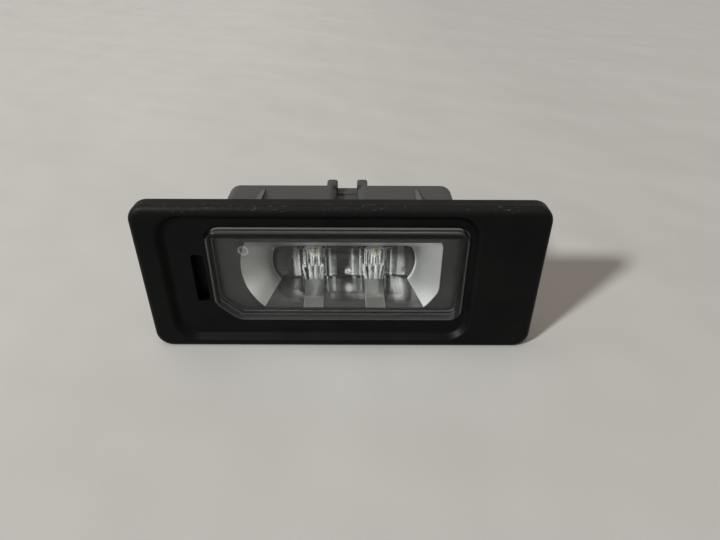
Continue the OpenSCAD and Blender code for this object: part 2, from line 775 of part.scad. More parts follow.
// Both edges of a strip of even thickness along a path
function side_of(path, i, off) =
    let (a = path[max(i - 1, 0)], b = path[min(i + 1, len(path) - 1)], p = path[i],
         u = i > 0 ? (p - a) / norm(p - a) : (b - p) / norm(b - p),
         v = i < len(path) - 1 ? (b - p) / norm(b - p) : u,
         n = [-(u[1] + v[1]), u[0] + v[0]], m = n / norm(n))
    p + m * off / (m * [-u[1], u[0]]);
function ribbon(path, t) =
    concat([for (i = [0:len(path) - 1]) side_of(path, i, t / 2)],
           [for (i = [len(path) - 1:-1:0]) side_of(path, i, -t / 2)]);

module retaining_spring() {
    bend_r = 1.3;
    bend_n = 6;
    past_lug = [2, 1.4];
    leg_x = house_left - spring_gap - spring_t / 2;
    bend_y = lug_y + lug_l + past_lug[1];
    apex = [house_left - spring_reach, panel_t + 2];
    above = [0.45, 1.1];
    below = [0.5, -1];
    toe = [2.2, -2.8];
    path = concat(
        [[leg_x, lug_y - past_lug[0]], [leg_x, bend_y]],
        [for (i = [1:bend_n]) let (a = 180 * i / bend_n)
            [leg_x - bend_r + bend_r * cos(a), bend_y + bend_r * sin(a)]],
        [apex + above, apex, apex + below, apex + toe]);
    color("#9a9ea2") rise(middle_z - clip_w / 2, middle_z + clip_w / 2) polygon(ribbon(path, spring_t));
}

bezel();
lens();
lens_seal();
mask();
reflector();
light_guide();
circuit_board();
led(lamp_at(-1));  // led_left
led(lamp_at(1));  // led_right
phosphor(lamp_at(-1));  // phosphor_left
phosphor(lamp_at(1));  // phosphor_right
resistor(0);  // resistor_1
resistor(1);  // resistor_2
resistor(2);  // resistor_3
resistor(3);  // resistor_4
diode(-1);  // protection_diode
diode(1);  // surge_diode
capacitor(-1);  // capacitor_1
capacitor(1);  // capacitor_2
contact_pin(-1);  // contact_pin_left
contact_pin(1);  // contact_pin_right
housing();
vent_membrane();
retaining_spring();
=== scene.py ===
import math
import bmesh
import bpy
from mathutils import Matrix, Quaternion, Vector


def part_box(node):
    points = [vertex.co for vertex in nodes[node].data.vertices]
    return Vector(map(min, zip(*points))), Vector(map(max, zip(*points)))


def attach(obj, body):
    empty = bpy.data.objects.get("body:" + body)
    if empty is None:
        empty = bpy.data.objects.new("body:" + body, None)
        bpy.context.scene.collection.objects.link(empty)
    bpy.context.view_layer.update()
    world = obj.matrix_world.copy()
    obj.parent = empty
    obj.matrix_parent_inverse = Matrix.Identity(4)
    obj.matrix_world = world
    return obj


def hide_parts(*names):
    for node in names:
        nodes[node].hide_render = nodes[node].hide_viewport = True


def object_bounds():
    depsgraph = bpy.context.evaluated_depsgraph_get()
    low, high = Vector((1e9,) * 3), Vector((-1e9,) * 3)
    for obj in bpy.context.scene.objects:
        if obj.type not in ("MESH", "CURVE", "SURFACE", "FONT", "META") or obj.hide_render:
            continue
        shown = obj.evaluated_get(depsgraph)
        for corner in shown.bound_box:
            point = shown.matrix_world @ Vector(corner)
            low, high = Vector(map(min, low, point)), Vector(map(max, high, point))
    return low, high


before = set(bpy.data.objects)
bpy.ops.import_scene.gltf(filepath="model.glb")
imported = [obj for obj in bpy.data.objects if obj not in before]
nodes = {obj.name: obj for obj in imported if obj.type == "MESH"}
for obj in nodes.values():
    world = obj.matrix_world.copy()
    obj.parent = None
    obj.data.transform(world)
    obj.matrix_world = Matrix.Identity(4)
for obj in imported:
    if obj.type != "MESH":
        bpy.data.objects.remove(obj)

# Number plate lamp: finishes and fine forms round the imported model
# X runs along the lamp, Y points back into the car, Z is up; metres
# The dictionaries hold millimetres, and colours and shares have no unit
mm = 0.001
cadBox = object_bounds()
print("frame loaded:", len(nodes), "nodes")


def millimetres(node):
    low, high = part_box(node)
    return low / mm, high / mm


bezelLow, bezelHigh = millimetres("bezel")
lensLow, lensHigh = millimetres("lens")
plateBox = (bezelLow.x, bezelHigh.x, bezelLow.z, bezelHigh.z)
lensBox = (lensLow.x, lensHigh.x, lensLow.z, lensHigh.z)
lamps = (-6.19, 6.99)   # middles of the blocks and tongues, along X


# View and light

view = {
    "eye": (3.49, -93.26, 60.49),
    "down": 32.6,           # degrees below level; the next two are degrees as well
    "turn": 0.117,
    "roll": 0.247,
    "lens": 27.05,
    "sensor": 36,           # width
    "clip": (0.002, 50),    # metres
}
light = {
    "sky": (1.0, 0.87, 0.78),
    "skyStrength": 0.22,
    "backdrop": (0.60, 0.585, 0.56),    # what the camera, metal and glass see behind the floor
    "sunFrom": (-0.63, -0.57, 0.53),
    "sunStrength": 3.35,
    "sunSoftness": 6,       # degrees
    "sunColour": (0.95, 0.985, 1.0),
    "windowFrom": (-0.1, -0.12, 0.99),
    "windowDistance": 1.5,  # metres, as are the next two
    "windowWidth": 1.5,
    "windowHeight": 0.6,
    "windowPower": 4.0,
    "windowColour": (1.0, 0.94, 0.88),
}


def addCamera():
    down = math.radians(view["down"])
    turn = math.radians(view["turn"])
    ahead = Vector((math.sin(turn) * math.cos(down), math.cos(turn) * math.cos(down), -math.sin(down)))
    data = bpy.data.cameras.new("camera")
    data.sensor_width = view["sensor"]
    data.lens = view["lens"]
    data.clip_start, data.clip_end = view["clip"]
    camera = bpy.data.objects.new("camera", data)
    bpy.context.scene.collection.objects.link(camera)
    camera.location = Vector(view["eye"]) * mm
    camera.rotation_mode = "QUATERNION"
    roll = Quaternion((0, 0, 1), math.radians(view["roll"]))
    camera.rotation_quaternion = ahead.to_track_quat("-Z", "Y") @ roll
    bpy.context.scene.camera = camera


def addLight(name, kind, source, strength, colour):
    # A light that shines on the lamp from the direction of its source
    data = bpy.data.lights.new(name, kind)
    data.energy = strength
    data.color = colour
    holder = bpy.data.objects.new(name, data)
    holder.rotation_mode = "QUATERNION"
    holder.rotation_quaternion = source.to_track_quat("Z", "Y")
    bpy.context.scene.collection.objects.link(holder)
    return holder


def addLights():
    sun = addLight("sun", "SUN", Vector(light["sunFrom"]), light["sunStrength"], light["sunColour"])
    sun.data.angle = math.radians(light["sunSoftness"])
    # A broad window overhead, which draws thin bright lines along the glossy edges
    source = Vector(light["windowFrom"]).normalized()
    window = addLight("window", "AREA", source, light["windowPower"], light["windowColour"])
    window.data.shape = "RECTANGLE"
    window.data.size = light["windowWidth"]
    window.data.size_y = light["windowHeight"]
    window.location = source * light["windowDistance"]
    bpy.context.scene.view_settings.view_transform = "Standard"


addCamera()
addLights()
print("camera and lights set")


# Tools for materials

class Wire:
    # An output socket in a material, with arithmetic written as plain expressions
    def __init__(self, tree, socket=None):
        self.tree = tree
        self.socket = socket

    def make(self, kind, sockets=None, out=0, **settings):
        node = self.tree.nodes.new(kind)
        for name, value in settings.items():
            setattr(node, name, value)
        for name, value in (sockets or {}).items():
            if isinstance(value, Wire):
                self.tree.links.new(value.socket, node.inputs[name])
            else:
                node.inputs[name].default_value = value
        return Wire(self.tree, node.outputs[out])

    def calc(self, operation, first, *others):
        # More than two values make a chain
        for other in others:
            first = self.make("ShaderNodeMath", {0: first, 1: other}, operation=operation)
        return first

    def __add__(self, other):
        return self.calc("ADD", self, other)

    def __radd__(self, other):
        return self.calc("ADD", other, self)

    def __sub__(self, other):
        return self.calc("SUBTRACT", self, other)

    def __rsub__(self, other):
        return self.calc("SUBTRACT", other, self)

    def __mul__(self, other):
        return self.calc("MULTIPLY", self, other)

    def __rmul__(self, other):
        return self.calc("MULTIPLY", other, self)


def newMaterial(name, colour, roughness, metallic=0.0, **fixed):
    material = bpy.data.materials.new(name)
    material.use_nodes = True
    tree = material.node_tree
    shader = tree.nodes["Principled BSDF"]
    shader.inputs["Base Color"].default_value = (*colour, 1)
    shader.inputs["Roughness"].default_value = roughness
    shader.inputs["Metallic"].default_value = metallic
    for socket, value in fixed.items():
        shader.inputs[socket.replace("_", " ")].default_value = value
    return material, Wire(tree), shader


def feed(shader, name, wire):
    wire.tree.links.new(wire.socket, shader.inputs[name])


def place(wire, stretch=(1, 1, 1)):
    # The piece's own coordinates; a share below 1 draws a pattern out along that axis
    spot = wire.make("ShaderNodeTexCoord", out="Object")
    return wire.make("ShaderNodeMapping", {"Vector": spot, "Scale": stretch})


def axes(wire, spot):
    split = wire.make("ShaderNodeSeparateXYZ", {0: spot})
    return [Wire(wire.tree, socket) for socket in split.socket.node.outputs]


def noise(wire, spot, size, detail=3, roughness=0.5):
    return wire.make("ShaderNodeTexNoise", {"Vector": spot, "Scale": 1 / (size * mm),
                                            "Detail": detail, "Roughness": roughness})


def ramp(wire, factor, low, high, lowValue=0.0, highValue=1.0):
    return wire.make("ShaderNodeMapRange", {"Value": factor, "From Min": low, "From Max": high,
                                            "To Min": lowValue, "To Max": highValue}, clamp=True)


def fade(wire, distance, low, high, lowValue=0.0, highValue=1.0):
    # A ramp between two distances in millimetres
    return ramp(wire, distance, low * mm, high * mm, lowValue, highValue)


def clouds(wire, spot, size):
    # Soft patches, from 0 to 1
    return ramp(wire, noise(wire, spot, size, detail=4), 0.3, 0.7)


def scaled(wire, share, low, high):
    # A share from 0 to 1 becomes a value from low to high
    return ramp(wire, share, 0, 1, low, high)


def blend(wire, factor, first, second):
    # Inputs 6 and 7 of the node and its output 2 are colours
    first, second = (item if isinstance(item, Wire) else (*item, 1) for item in (first, second))
    return wire.make("ShaderNodeMix", {0: factor, 6: first, 7: second}, out=2, data_type="RGBA")


def mixShaders(wire, share, first, second):
    return wire.make("ShaderNodeMixShader", {0: share, 1: first, 2: second})


def diffuse(wire, colour):
    return wire.make("ShaderNodeBsdfDiffuse", {"Color": (*colour, 1)})


def addBump(wire, shader, height, depth):
    sockets = {"Height": height, "Distance": depth * mm, "Strength": 1}
    feed(shader, "Normal", wire.make("ShaderNodeBump", sockets))


def away(wire, across, *middles):
    # How far a spot lies from the nearest of some places along an axis
    return wire.calc("MINIMUM", *(wire.calc("ABSOLUTE", across - middle * mm, 0) for middle in middles))


def awaySquared(wire, first, second, x, y):
    # How far a spot lies from a point in the plane of two axes, squared
    return wire.calc("POWER", first - x * mm, 2) + wire.calc("POWER", second - y * mm, 2)


def stripe(wire, across, middle, half, core, share=1.0):
    # A stripe that fades from its core, a share of its half width, to its sides
    return fade(wire, away(wire, across, middle), half, half * core, 0, share)


def disc(wire, first, second, x, y, radius, core, share=1.0):
    # A round spot that fades from its core, a share of its radius, to its rim
    off = awaySquared(wire, first, second, x, y)
    return ramp(wire, off, (radius * mm) ** 2, (radius * core * mm) ** 2, 0, share)


def addWorld():
    # Warm sky light, and a pale backdrop where the camera, metal or glass look at it
    world = bpy.data.worlds.new("world")
    world.use_nodes = True
    tree = world.node_tree
    wire = Wire(tree)
    sky = tree.nodes["Background"]
    sky.inputs["Color"].default_value = (*light["sky"], 1)
    sky.inputs["Strength"].default_value = light["skyStrength"]
    backdrop = wire.make("ShaderNodeBackground", {"Color": (*light["backdrop"], 1), "Strength": 1})
    rays = ("Is Camera Ray", "Is Glossy Ray", "Is Transmission Ray")
    seen = wire.calc("MAXIMUM", *(wire.make("ShaderNodeLightPath", out=ray) for ray in rays))
    mixed = mixShaders(wire, seen, Wire(tree, sky.outputs[0]), backdrop)
    tree.links.new(mixed.socket, tree.nodes["World Output"].inputs["Surface"])
    bpy.context.scene.world = world


addWorld()


# Tools for shapes

cleaning = {
    "weld": 0.002,          # corners nearer than this become one
    "copyWeld": 0.001,
    "flat": 0.5,            # degrees between faces that become one
    "sharp": 35,            # degrees from which an edge stays sharp
}


def smoothByAngle(mesh, angle=cleaning["sharp"]):
    mesh.shade_smooth()
    mesh.set_sharp_from_angle(angle=math.radians(angle))


def finished(name, bm, material, replaced, sharpAngle=cleaning["sharp"]):
    # A bmesh becomes a piece that rides on the lamp and stands for CAD nodes
    bmesh.ops.remove_doubles(bm, verts=bm.verts, dist=cleaning["weld"] * mm)
    bmesh.ops.recalc_face_normals(bm, faces=bm.faces)
    mesh = bpy.data.meshes.new(name)
    bm.to_mesh(mesh)
    bm.free()
    mesh.materials.append(material)
    piece = bpy.data.objects.new(name, mesh)
    bpy.context.scene.collection.objects.link(piece)
    smoothByAngle(mesh, sharpAngle)
    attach(piece, "root")
    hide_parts(*replaced)
    return piece


def copyOfNode(node, name, material, angle=32):
    # The CAD shape itself, with its loose triangles merged so that round faces shade smoothly
    bm = bmesh.new()
    bm.from_mesh(nodes[node].data)
    bmesh.ops.remove_doubles(bm, verts=bm.verts, dist=cleaning["copyWeld"] * mm)
    flat = math.radians(cleaning["flat"])
    bmesh.ops.dissolve_limit(bm, angle_limit=flat, verts=bm.verts, edges=bm.edges)
    return finished(name, bm, material, [node], angle)


def dress(material, *names):
    # Small parts keep their CAD shape and only get a finish
    for name in names:
        for holder in nodes[name].material_slots:
            holder.material = material


def softEdges(piece, width):
    # Small round edges, which catch the light
    modifier = piece.modifiers.new("edges", "BEVEL")
    modifier.width = width * mm
    modifier.segments = 2
    modifier.limit_method = "ANGLE"
    modifier.angle_limit = math.radians(45)
    modifier.harden_normals = False


def roundCorners(bm, corners, offset, segments):
    bmesh.ops.bevel(bm, geom=corners, offset=offset * mm, offset_type="OFFSET", segments=segments,
                    profile=0.5, affect="VERTICES", material=-1)


def roundedLoop(bm, box, radius, y, cut=None, segments=10):
    # A closed edge loop at one depth: a rectangle with round corners, and one corner cut if asked
    x0, x1, z0, z1 = box
    square = [(x1, z0), (x1, z1), (x0, z1)]
    slanted = [(x0, z0 + cut[1]), (x0 + cut[0], z0)] if cut else []
    if not cut:
        square.append((x0, z0))
    corners = [bm.verts.new((x * mm, y * mm, z * mm)) for x, z in square + slanted]
    bm.faces.new(corners)
    roundCorners(bm, corners[:len(square)], radius, segments)
    if cut:
        ends = [vert for vert in corners[len(square):] if vert.is_valid]
        roundCorners(bm, ends, radius * math.tan(math.pi / 8), segments)
    bm.faces.ensure_lookup_table()
    face = bm.faces[-1]
    edges = list(face.edges)
    bmesh.ops.delete(bm, geom=[face], context="FACES_ONLY")
    return edges


def bridge(bm, loops, closed=False):
    # Faces from loop to loop, and from the last to the first if closed, or else over both ends
    pairs = list(zip(loops, loops[1:]))
    if closed:
        pairs.append((loops[-1], loops[0]))
    for first, second in pairs:
        if abs(first[0].verts[0].co.y - second[0].verts[0].co.y) < 0.001 * mm:
            # A flat ring between two outlines
            bmesh.ops.triangle_fill(bm, edges=first + second, use_beauty=True, use_dissolve=False,
                                    normal=(0, 1, 0))
        else:
            bmesh.ops.bridge_loops(bm, edges=first + second)
    if not closed:
        bmesh.ops.holes_fill(bm, edges=loops[0])
        bmesh.ops.holes_fill(bm, edges=loops[-1])


def grown(box, distance):
    x0, x1, z0, z1 = box
    return (x0 - distance, x1 + distance, z0 - distance, z1 + distance)


def cutAfter(cut, distance):
    # The cut corner of an outline that has moved outwards by a distance
    gain = cut[0] + cut[1] - math.hypot(*cut)
    return (cut[0] + distance * gain / cut[1], cut[1] + distance * gain / cut[0])


def quarterRound(edge, rings):
    # From the side to the front: pairs of how far inwards, and how far behind the front
    angles = [math.pi / 2 * index / rings for index in range(rings + 1)]
    return [(edge * (1 - math.cos(angle)), edge * (1 - math.sin(angle))) for angle in angles]


def addProfile(bm, points, z0, z1, edge):
    # A profile in X and Y, made solid from one height to another, with soft edges
    verts = [bm.verts.new((x * mm, y * mm, z0 * mm)) for x, y in points]
    face = bm.faces.new(verts)
    extruded = bmesh.ops.extrude_face_region(bm, geom=[face])
    top = [item for item in extruded["geom"] if isinstance(item, bmesh.types.BMVert)]
    bmesh.ops.translate(bm, verts=top, vec=(0, 0, (z1 - z0) * mm))
    linked = set(verts + top)
    edges = [item for item in bm.edges if item.verts[0] in linked and item.verts[1] in linked]
    bmesh.ops.bevel(bm, geom=edges, offset=edge * mm, offset_type="OFFSET", segments=2, profile=0.5,
                    affect="EDGES", clamp_overlap=True, material=-1)


def cutAway(piece, bm):
    # The closed shape in the bmesh is taken out of the piece
    bmesh.ops.recalc_face_normals(bm, faces=bm.faces)
    mesh = bpy.data.meshes.new("cutter")
    bm.to_mesh(mesh)
    bm.free()
    cutter = bpy.data.objects.new("cutter", mesh)
    bpy.context.scene.collection.objects.link(cutter)
    modifier = piece.modifiers.new("cut", "BOOLEAN")
    modifier.operation = "DIFFERENCE"
    modifier.object = cutter
    modifier.solver = "EXACT"
    modifier.use_self = True
    bpy.context.view_layer.update()
    shaped = bpy.data.meshes.new_from_object(piece.evaluated_get(bpy.context.evaluated_depsgraph_get()))
    piece.modifiers.remove(modifier)
    piece.data = shaped
    bpy.data.objects.remove(cutter)
    smoothByAngle(piece.data)


# Bezel

bezel = {
    "black": (0.0016, 0.0016, 0.0018),
    "dull": (0.0034, 0.0033, 0.0032),
    "scuff": (0.07, 0.07, 0.067),
    "paintedTopLight": (0.0095, 0.009, 0.0084),  # the upper edge, painted lighter as painted light from above
    "specular": 0.09,
    "roughness": 0.45,
    "roughRange": (0.40, 0.52),
    "scuffRoughness": 0.2,  # added on the scuffs
    "cloudSize": 9,
    "dullRange": (0.3, 0.75),
    "cloudRange": (0.3, 0.7),
    "grain": 0.22,
    "grainDepth": 0.012,
    "upperEdge": (15.0, 16.2),          # the height at which it starts and at which it is full
    "frontEdge": (-1.6, -2.6),
    "fleckSize": 0.5,
    "fleckStretch": (0.45, 1, 1),
    "fleckRange": (0.57, 0.68),
    "patchSize": 7,
    "patchRange": (0.45, 0.6),
    "corner": 3.5,
    "edge": 1.2,
    "edgeRings": 8,
    "backEdge": 0.15,
    "field": (-34.0, 25.5, -13.45, 13.45),  # foot of the step
    "fieldCorner": 3.6,
    "fieldDepth": 1.3,
    "step": 1.7,
    "stepRings": 9,
    "seat": 2.2,
    "relief": 1.2,
    "windowGap": 0.25,
    "windowEdge": 0.15,
    "windowRound": 0.3,     # share of that edge at which the loop between lies
    "hold": 0.12,           # narrow strip that keeps a flat face flat beside a round edge
    "slot": (-29.7, -27.3, -5.5, 5.5),
    "slotCorner": 0.5,
    "slotDepth": 2.4,
    "slotRim": ((0.3, -0.3), (0.06, 0.06), (0, 0.2)),   # outwards, and behind the field
    "slotWall": 0.8,
    "pocketRoot": 0.4,
    "pocketEdge": 0.2,
}
hook = {
    "foot": 28.2,
    "root": 0.3,            # how far it starts inside the bezel
    "post": 2.0,
    "panel": 2.8,
    "nose": 2.4,
    "tip": 0.8,
    "reach": 3.6,
    "width": 8.0,
    "middle": 0.95,
    "edge": 0.15,
    "web": 1.4,
    "webWidth": 1.2,
    "webEdge": 0.08,
    "overlap": 0.05,
}


def bezelPlastic():
    look = bezel
    material, wire, shader = newMaterial("bezelPlastic", look["black"], look["roughness"],
                                         Specular_IOR_Level=look["specular"])
    spot = place(wire)
    depth, height = axes(wire, spot)[1:]
    cloud = noise(wire, spot, look["cloudSize"], detail=4)
    # Scuffs sit on the upper front edge, where the lamp is handled
    edge = fade(wire, height, *look["upperEdge"]) * fade(wire, depth, *look["frontEdge"])
    flecks = noise(wire, place(wire, look["fleckStretch"]), look["fleckSize"], detail=5, roughness=0.7)
    patches = noise(wire, spot, look["patchSize"], detail=2)
    wear = edge * ramp(wire, flecks, *look["fleckRange"]) * ramp(wire, patches, *look["patchRange"])
    tone = blend(wire, ramp(wire, cloud, *look["dullRange"]), look["black"], look["dull"])
    # Painted light: the upper edge is painted lighter, as if lit from above
    tone = blend(wire, edge, tone, look["paintedTopLight"])
    feed(shader, "Base Color", blend(wire, wear, tone, look["scuff"]))
    rough = ramp(wire, cloud, *look["cloudRange"], *look["roughRange"])
    feed(shader, "Roughness", rough + wear * look["scuffRoughness"])
    addBump(wire, shader, noise(wire, spot, look["grain"], detail=2, roughness=0.6), look["grainDepth"])
    return material


def addPocket(bm, field):
    # The blind pocket behind the release slot, which the housing's flange closes on the right
    x0, x1, z0, z1 = bezel["slot"]
    wall = bezel["slotWall"]
    root = -bezel["relief"] - bezel["pocketRoot"]
    back = field + bezel["slotDepth"] + wall
    profile = [(x0 - wall, root), (x1, root), (x1, back), (x0 - wall, back)]
    addProfile(bm, profile, z0 - wall, z1 + wall, bezel["pocketEdge"])


def addHook(bm):
    # The nose holds the panel, and two webs stiffen the post
    foot = hook["foot"]
    post = foot + hook["post"]
    nose = post + hook["reach"]
    panel = hook["panel"]
    tip = panel + hook["tip"]
    top = panel + hook["nose"]
    low = hook["middle"] - hook["width"] / 2
    high = hook["middle"] + hook["width"] / 2
    root = -bezel["relief"] - hook["root"]
    profile = [(foot, root), (post, root), (post, panel), (nose, panel),
               (nose, tip), (post, top), (foot, top)]
    addProfile(bm, profile, low, high, hook["edge"])
    inner = foot + hook["overlap"]
    for z in (low, high - hook["webWidth"]):
        web = [(foot - hook["web"], root), (inner, root), (inner, panel)]
        addProfile(bm, web, z, z + hook["webWidth"], hook["webEdge"])


def cutSlot(piece, field):
    bm = bmesh.new()
    loops = []
    for outward, behind in (*bezel["slotRim"], (0, bezel["slotDepth"])):
        outline = grown(bezel["slot"], outward)
        loops.append(roundedLoop(bm, outline, bezel["slotCorner"] + outward, field + behind, segments=5))
    bridge(bm, loops)
    cutAway(piece, bm)


def makeBezel():
    shape = bezel
    bm = bmesh.new()
    front = bezelLow.y
    field = front + shape["fieldDepth"]
    loops = []

    def plateLoop(inward, y):
        loops.append(roundedLoop(bm, grown(plateBox, -inward), shape["corner"] - inward, y))

    def fieldLoop(outward, y):
        loops.append(roundedLoop(bm, grown(shape["field"], outward), shape["fieldCorner"] + outward, y))

    def windowLoop(outward, y):
        gap = shape["windowGap"] + outward
        cut = cutAfter(lens["cut"], gap)
        loops.append(roundedLoop(bm, grown(lensBox, gap), lens["corner"] + gap, y, cut))

    # Round the plate from its back to its front
    plateLoop(shape["seat"], -shape["relief"])
    plateLoop(shape["seat"], 0)
    plateLoop(shape["backEdge"], 0)
    plateLoop(0, -shape["backEdge"])
    for inward, behind in quarterRound(shape["edge"], shape["edgeRings"]):
        plateLoop(inward, front + behind)
    plateLoop(shape["edge"] + shape["hold"], front)
    # Down the soft step into the field
    fieldLoop(shape["step"] + shape["hold"], front)
    for index in range(shape["stepRings"] + 1):
        share = index / shape["stepRings"]
        lightFalloff = (1 - math.cos(math.pi * share)) / 2
        fieldLoop(shape["step"] * (1 - share), front + shape["fieldDepth"] * lightFalloff)
    fieldLoop(-shape["hold"], field)
    # Round the edge of the window and back through it
    edge = shape["windowEdge"]
    windowLoop(edge + shape["hold"], field)
    windowLoop(edge, field)
    windowLoop(edge * shape["windowRound"], field + edge * shape["windowRound"])
    windowLoop(0, field + edge)
    windowLoop(0, -shape["relief"])
    bridge(bm, loops, closed=True)
    addHook(bm)
    addPocket(bm, field)
    piece = finished("bezelShell", bm, bezelPlastic(), ["bezel"])
    cutSlot(piece, field)


# Clear plastic of the lens and the light guide

clear = {
    "tint": (0.975, 0.985, 0.985),
    "roughness": 0.02,
    "roughRange": (0.01, 0.03),
    "cloudSize": 5,
    "cloudRange": (0.35, 0.7),
    "scratchSize": 0.35,
    "scratchStretch": (0.25, 1, 1),
    "scratchDepth": 0.0003,
    "shadow": 0.9,          # how much light a wall lets through
    "hazeAndPaintedLight": (0.8, 0.8, 0.77),
}


def clearPlastic(name, ior, cover):
    # The cover adds the piece's own haze and lines to the clear surface, with the pale shader given as satin
    # for painted light and shade
    look = clear
    material, wire, shader = newMaterial(name, look["tint"], look["roughness"],
                                         Transmission_Weight=1, IOR=ior)
    spot = place(wire)
    cloud = noise(wire, spot, look["cloudSize"])
    feed(shader, "Roughness", ramp(wire, cloud, *look["cloudRange"], *look["roughRange"]))
    scratches = noise(wire, place(wire, look["scratchStretch"]), look["scratchSize"], detail=4, roughness=0.7)
    addBump(wire, shader, scratches, look["scratchDepth"])
    tree = material.node_tree
    surface = cover(wire, shader, spot, Wire(tree, shader.outputs[0]), diffuse(wire, look["hazeAndPaintedLight"]))
    # Light passes straight through to what lies behind, so that it isn't left dark
    through = wire.make("ShaderNodeBsdfTransparent", {"Color": (*[look["shadow"]] * 3, 1)})
    mixed = mixShaders(wire, wire.make("ShaderNodeLightPath", out="Is Shadow Ray"), surface, through)
    tree.links.new(mixed.socket, tree.nodes["Material Output"].inputs["Surface"])
    return material


# Lens

lens = {
    "ior": 1.3,
    "corner": 2.7,
    "cut": (4.7, 4.1),
    "leastCorner": 0.3,
    "edge": 0.7,
    "edgeRings": 7,
    "backEdge": ((0.05, 0.05), (0.15, 0)),  # inwards, and before the back
    "wall": 1.2,            # thickness at the sides
    "front": 1.6,           # thickness of the front
    "innerEdge": ((0, 0.3), (0.1, 0.08), (0.3, 0)),     # inwards from the wall, and behind the front's inside
    # painted shade: the dark tint of the rim's wall
    "paintedRimShade": (0.02, 0.02, 0.021),
    "rimWidth": (1.7, 1.45),            # from the outline, as are the next two
    "coatWidth": (0.75, 0.45),
    "edgeLightWidth": (0.5, 0.25),
    "edgeLightDepth": (-2.65, -2.45),
    "edgeLightShare": (0.035, 0.22),         # painted highlight along the outline: at the front, and in the corner beside the bezel
    "dish": (-19.2, 7.2),               # the gate mark of the moulding
    "dishRadius": 1.0,
    "dishProfile": ((0, -0.2), (1.06, -0.2), (1.06, -0.01), (1.0, 0.04),    # share of radius, depth
                    (0.94, 0.12), (0.8, 0.15), (0, 0.15)),
    "dishSteps": 40,
    "ring": (-18.9, 7.35),              # the mark's bright rim, as the photo shows it
    "ringOuter": (1.07, 0.95),
    "ringInner": (0.87, 0.73),
    "ringDepth": (-2.7, -2.9),
    "ringHighlightShare": 0.26,
    "dishShare": 0.03,
}


def lensInside(wire, across, height):
    # Distance of a spot from the outline of the lens
    x0, x1, z0, z1 = lensBox
    cutX, cutZ = lens["cut"]
    length = math.hypot(cutX, cutZ)
    slant = (across - x0 * mm) * (cutZ / length) + (height - (z0 + cutZ) * mm) * (cutX / length)
    return wire.calc("MINIMUM", slant, across - x0 * mm, x1 * mm - across, height - z0 * mm, z1 * mm - height)


def gateMark(wire, across, depth, height):
    # The round mark of the moulding: a faint disc, and a rim painted brighter as a painted highlight
    off = wire.calc("POWER", awaySquared(wire, across, height, *lens["ring"]), 0.5)
    outer = fade(wire, off, *lens["ringOuter"])
    inner = fade(wire, off, *lens["ringInner"])
    front = fade(wire, depth, *lens["ringDepth"])
    return (outer * lens["ringHighlightShare"] - inner * (lens["ringHighlightShare"] - lens["dishShare"])) * front


def lensFinish(wire, shader, spot, surface, satin):
    # The welded rim is painted dark inside, as painted shade, and its outer edge shines
    across, depth, height = axes(wire, spot)
    inside = lensInside(wire, across, height)
    rim = fade(wire, inside, *lens["rimWidth"])
    feed(shader, "Base Color", blend(wire, rim, clear["tint"], lens["paintedRimShade"]))
    feed(shader, "Coat Weight", fade(wire, inside, *lens["coatWidth"]))
    # A pale haze along the outline, painted as a highlight
    edge = fade(wire, depth, *lens["edgeLightDepth"], *lens["edgeLightShare"]) * fade(wire, inside, *lens["edgeLightWidth"])
    return mixShaders(wire, wire.calc("MAXIMUM", gateMark(wire, across, depth, height), edge), surface, satin)


def cutDish(piece, front):
    # The shallow round dish of the gate mark, with a soft rim
    x, z = lens["dish"]
    radius = lens["dishRadius"]
    bm = bmesh.new()
    verts = [bm.verts.new(((x + share * radius) * mm, (front + behind) * mm, z * mm))
             for share, behind in lens["dishProfile"]]
    edges = [bm.edges.new(pair) for pair in zip(verts, verts[1:])]
    bmesh.ops.spin(bm, geom=verts + edges, cent=(x * mm, 0, z * mm), axis=(0, 1, 0), angle=math.tau,
                   steps=lens["dishSteps"], use_merge=True)
    bmesh.ops.remove_doubles(bm, verts=bm.verts, dist=cleaning["copyWeld"] * mm)
    cutAway(piece, bm)


def makeLens():
    shape = lens
    bm = bmesh.new()
    front = lensLow.y
    back = lensHigh.y
    loops = []

    def lensLoop(inward, y):
        corner = max(shape["corner"] - inward, shape["leastCorner"])
        loops.append(roundedLoop(bm, grown(lensBox, -inward), corner, y, cutAfter(shape["cut"], -inward)))

    # From the middle of the front round the outside, and back inside
    for inward, behind in reversed(quarterRound(shape["edge"], shape["edgeRings"])):
        lensLoop(inward, front + behind)
    for inward, before in shape["backEdge"]:
        lensLoop(inward, back - before)
    lensLoop(shape["wall"], back)
    for inward, behind in shape["innerEdge"]:
        lensLoop(shape["wall"] + inward, front + shape["front"] + behind)
    bridge(bm, loops)
    piece = finished("lensCover", bm, clearPlastic("lensPlastic", shape["ior"], lensFinish), ["lens"])
    cutDish(piece, front)


makeBezel()
makeLens()
print("bezel and lens made")


# Light guide

